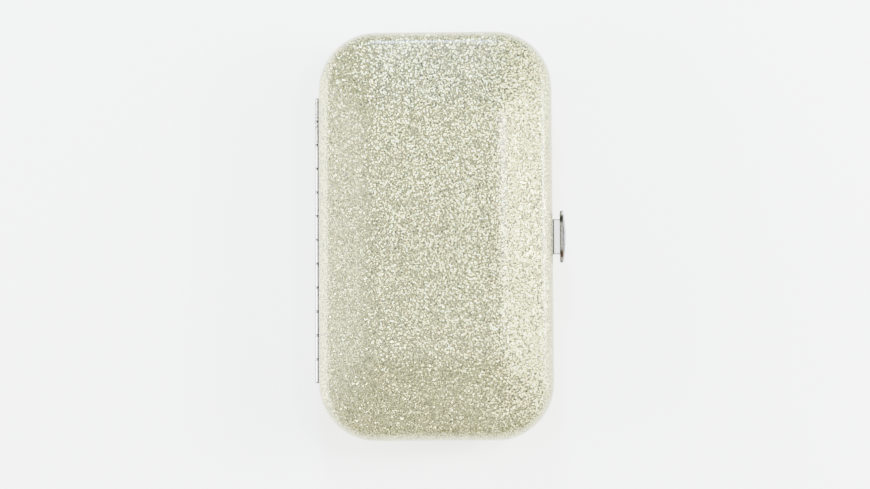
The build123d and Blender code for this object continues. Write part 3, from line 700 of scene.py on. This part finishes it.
def make_board(half):
    """Flocked board: a soft skin over a stiff card, with a rolled edge and a dimple at each tack."""
    edge = even_points(outline_at(half.board, half.face_z), OUTLINE_POINTS)
    _, _, _, band_y = band_shape(half)
    tacks = tack_places(half)

    def dimple(point):
        across = max(band_y[0] - point.y, point.y - band_y[1], 0.0)
        nearest = min(abs(point.x - x) for x in tacks)
        return TACK_DIMPLE_DEPTH * math.exp(-(across**2 + nearest**2) / (TACK_DIMPLE_WIDTH / 2) ** 2)

    bm = bmesh.new()
    rings = []
    for inset, drop in BOARD_EDGE_ROLL:
        rings.append(add_ring(bm, [half.place(p.x, p.y, -drop * MM) for p in moved_in(edge, inset * MM)]))
    inner = moved_in(edge, BOARD_EDGE_ROLL[-1][0] * MM)
    for share in BOARD_RING_SHARES:
        rings.append(add_ring(bm, [half.place(p.x, p.y, -dimple(p)) for p in drawn_to_spine(inner, share)]))
    for outer_ring, inner_ring in zip(rings, rings[1:]):
        bridge(bm, outer_ring, inner_ring)
    bm.faces.new(rings[0])
    bmesh.ops.remove_doubles(bm, verts=rings[-1], dist=BOARD_MERGE)
    board = new_piece(half.body + "_flocked_board", bm, half.body, "lining")
    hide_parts(half.board)


def make_lining(half):
    """Lining between the steel rim and the board: a soft wall with a rolled lip and small puckers."""
    liner_low, liner_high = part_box(half.liner)
    mouth_z = liner_high[2] if half.body == "base" else liner_low[2]
    lip = half.height(mouth_z)
    mouth = moved_in(even_points(outline_at(half.liner, mouth_z), OUTLINE_POINTS), LINER_WALL)
    foot = even_points(outline_at(half.board, half.face_z), OUTLINE_POINTS)
    middle = [a.lerp(b, 0.5) for a, b in zip(mouth, foot)]
    section = [(mouth, out, lip - drop * LINING_LIP_DROP) for out, drop in LINING_LIP]
    section += [
        (middle, LINING_BULGE / LINING_THICKNESS, lip / 2),
        (foot, 0.0, 0.0),
        (foot, 0.0, -LINING_FOOT_DEPTH),
        (foot, LINING_BACK_FOOT, -LINING_FOOT_DEPTH),
        (middle, LINING_BACK_MIDDLE, lip / 2),
    ]
    swell_count, swell_start = LINING_PUCKER_SWELL
    bm = bmesh.new()
    rings = []
    for line, out, height in section:
        points = []
        for i, p in enumerate(moved_in(line, -out * LINING_THICKNESS)):
            turn = 2 * math.pi * i / OUTLINE_POINTS
            pucker = math.sin(LINING_PUCKER_COUNT * turn) * math.sin(swell_count * turn + swell_start)
            points.append(half.place(p.x, p.y, height + LINING_PUCKER * pucker * (out < LINING_FRONT)))
        rings.append(add_ring(bm, points))
    for ring_a, ring_b in zip(rings, rings[1:] + rings[:1]):
        bridge(bm, ring_a, ring_b)
    lining_piece = new_piece(half.body + "_lining", bm, half.body, "lining")
    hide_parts(half.liner)


def make_band(half):
    """Elastic band: a ribbed woven strip that arches over the tools and lies down between them."""
    humps, level, ends, band_y = band_shape(half)
    corners = [Vector((ends[0], level))]
    for left, right, top in humps:
        corners += [Vector((left, level)), Vector((left, top)), Vector((right, top)), Vector((right, level))]
    corners.append(Vector((ends[1], level)))
    path = rounded(corners, BAND_BEND, BAND_BEND_POINTS)
    half_width = (band_y[1] - band_y[0]) / 2 - BAND_EDGE_ROUND
    across_count = BAND_RIB_COUNT * BAND_RIB_POINTS
    corner_out, corner_lift = BAND_EDGE_CORNER
    corner_across = half_width + BAND_EDGE_ROUND * corner_out
    section = []
    for side in (1, -1):
        for k in range(across_count + 1):
            share = side * (2 * k / across_count - 1)
            rib = math.cos(math.pi * BAND_RIB_COUNT * (share + 1)) * BAND_RIB_HEIGHT
            section.append((share * half_width, side * (BAND_HALF_THICKNESS + rib)))
        section.append((side * corner_across, side * BAND_HALF_THICKNESS * corner_lift))
        section.append((side * corner_across, -side * BAND_HALF_THICKNESS * corner_lift))
    middle_y = (band_y[0] + band_y[1]) / 2
    bm = bmesh.new()
    rings = []
    for i, point in enumerate(path):
        along = (path[min(i + 1, len(path) - 1)] - path[max(i - 1, 0)]).normalized()
        out = Vector((-along.y, along.x))
        ring = []
        for across, lift in section:
            place = point + out * lift
            ring.append(half.place(place.x, middle_y + across, place.y))
        rings.append(add_ring(bm, ring))
    add_tube(bm, rings)
    band = new_piece(half.body + "_band", bm, half.body, "elastic")
    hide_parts(half.elastic)


def add_stitch(bm, half, x, y, length, height):
    """One raised stitch of thread, whose ends dive into the cloth."""
    rings = []
    for k in range(STITCH_POINTS):
        share = 2 * k / (STITCH_POINTS - 1) - 1
        lift = height + STITCH_RADIUS * (1.0 - STITCH_DIVE * share**4)
        ring = []
        for side in range(STITCH_SIDES):
            turn = 2 * math.pi * side / STITCH_SIDES
            ring.append(half.place(
                x + STITCH_RADIUS * math.cos(turn),
                y + share * length / 2,
                lift + STITCH_RADIUS * math.sin(turn),
            ))
        rings.append(add_ring(bm, ring))
    add_tube(bm, rings)


def make_stitches(half):
    """Rows of stitches that hold a band down on its board."""
    _, level, _, band_y = band_shape(half)
    pitch = (band_y[1] - band_y[0]) / STITCH_COUNT
    bm = bmesh.new()
    for x in tack_places(half):
        for i in range(STITCH_COUNT):
            y = band_y[0] + (i + 0.5) * pitch
            add_stitch(bm, half, x, y, STITCH_FILL * pitch, level + BAND_HALF_THICKNESS)
    new_piece(half.body + "_band_stitches", bm, half.body, "thread")


def make_spring():
    """Coil spring of the catch: wire on a helix, its end against the guide's back wall."""
    low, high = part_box("latch_spring")
    wire = SPRING_WIRE / 2
    coil = (high[2] - low[2]) / 2 - wire
    middle_y = (low[1] + high[1]) / 2
    middle_z = (low[2] + high[2]) / 2
    length = high[0] - low[0] - 2 * wire
    lead = length / (SPRING_TURNS * 2 * math.pi * coil)
    steps = SPRING_TURNS * SPRING_TURN_POINTS
    bm = bmesh.new()
    rings = []
    for i in range(steps + 1):
        turn = 2 * math.pi * i / SPRING_TURN_POINTS
        out = Vector((0.0, math.cos(turn), math.sin(turn)))
        x = low[0] + wire + length * i / steps
        centre = Vector((x, middle_y, middle_z)) + out * coil
        along = Vector((lead, -out.z, out.y)).normalized()
        across = along.cross(out)
        ring = []
        for side in range(SPRING_SIDES):
            angle = 2 * math.pi * side / SPRING_SIDES
            ring.append(centre + (out * math.cos(angle) + across * math.sin(angle)) * wire)
        rings.append(add_ring(bm, ring))
    add_tube(bm, rings)
    spring = new_piece("latch_coil", bm, "base", "spring_steel")
    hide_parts("latch_spring")
    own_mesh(spring)


# ---------------------------------------------------------------- studio
def add_floor():
    """A plain pale floor."""
    bpy.ops.mesh.primitive_plane_add(size=FLOOR_SIZE, location=(0, 0, -FLOOR_GAP))
    floor = bpy.context.object
    floor.name = "floor"
    floor.data.materials.append(materials["studio_paper"])


def add_softbox(name, place, size, radiance, colour):
    """A rectangular lamp that faces the case."""
    light = bpy.data.lights.new(name, "AREA")
    light.shape = "RECTANGLE"
    light.size = size[0]
    light.size_y = size[1]
    light.energy = radiance * math.pi * size[0] * size[1]
    light.color = colour
    lamp = bpy.data.objects.new(name, light)
    lamp.location = place
    lamp.rotation_euler = (Vector(LAMP_TARGET) - Vector(place)).to_track_quat("-Z", "Y").to_euler()
    bpy.context.scene.collection.objects.link(lamp)


def add_world():
    """Surroundings: white overhead and darker at the horizon, so that bright metal gets dark edges."""
    world = bpy.data.worlds.new("studio")
    world.use_nodes = True
    tree = world.node_tree
    direction = tree.nodes.new("ShaderNodeTexCoord").outputs["Generated"]
    stretched = tree.nodes.new("ShaderNodeMapping")
    stretched.vector_type = "NORMAL"
    stretched.inputs["Rotation"].default_value = (WORLD_LEAN, 0.0, 0.0)
    stretched.inputs["Scale"].default_value = (WORLD_STRETCH, 1.0, 1.0)
    tree.links.new(direction, stretched.inputs["Vector"])
    split = tree.nodes.new("ShaderNodeSeparateXYZ")
    tree.links.new(stretched.outputs["Vector"], split.inputs["Vector"])
    ramp = tree.nodes.new("ShaderNodeValToRGB")
    tree.links.new(split.outputs["Z"], ramp.inputs["Fac"])
    set_stops(ramp, [(height, (shade, shade, shade)) for height, shade in WORLD_SHADES])
    tree.links.new(ramp.outputs["Color"], tree.nodes["Background"].inputs["Color"])
    tree.nodes["Background"].inputs["Strength"].default_value = WORLD_STRENGTH
    bpy.context.scene.world = world


def add_lights():
    """Two small lamps for sparkles, a broad one at each side, and a cool and a warm one at the ends."""
    for lamp in LAMPS:
        add_softbox(*lamp)


def add_camera():
    """The photograph's camera."""
    pixels_per_metre = BODY_WIDTH_PX / BODY_WIDTH
    seam_z = (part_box("hinge_pin")[0][2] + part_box("hinge_pin")[1][2]) / 2
    offset_x = (PHOTO_WIDTH_PX / 2 - BODY_MIDDLE_PX[0]) / pixels_per_metre
    offset_y = -(PHOTO_HEIGHT_PX / 2 - BODY_MIDDLE_PX[1]) / pixels_per_metre
    target = Vector((offset_x, offset_y, seam_z))
    towards = Vector((math.tan(CAMERA_LEAN_RIGHT), -math.tan(CAMERA_LEAN_DOWN), 1.0)).normalized()
    upright = Vector((math.sin(CAMERA_ROLL), math.cos(CAMERA_ROLL), 0.0))
    right = upright.cross(towards).normalized()
    turn = Matrix((right, towards.cross(right), towards)).transposed()
    data = bpy.data.cameras.new("camera")
    data.sensor_width = SENSOR_WIDTH
    data.lens = pixels_per_metre * SENSOR_WIDTH * CAMERA_DISTANCE / PHOTO_WIDTH_PX
    data.clip_end = CAMERA_REACH
    camera = bpy.data.objects.new("camera", data)
    camera.location = target + towards * CAMERA_DISTANCE
    camera.rotation_euler = turn.to_euler()
    bpy.context.scene.collection.objects.link(camera)
    bpy.context.scene.camera = camera


finish_cad_nodes()
for case_half in (Half("base"), Half("lid")):
    make_board(case_half)
    make_lining(case_half)
    make_band(case_half)
    make_stitches(case_half)
make_spring()
add_floor()
add_world()
add_lights()
add_camera()
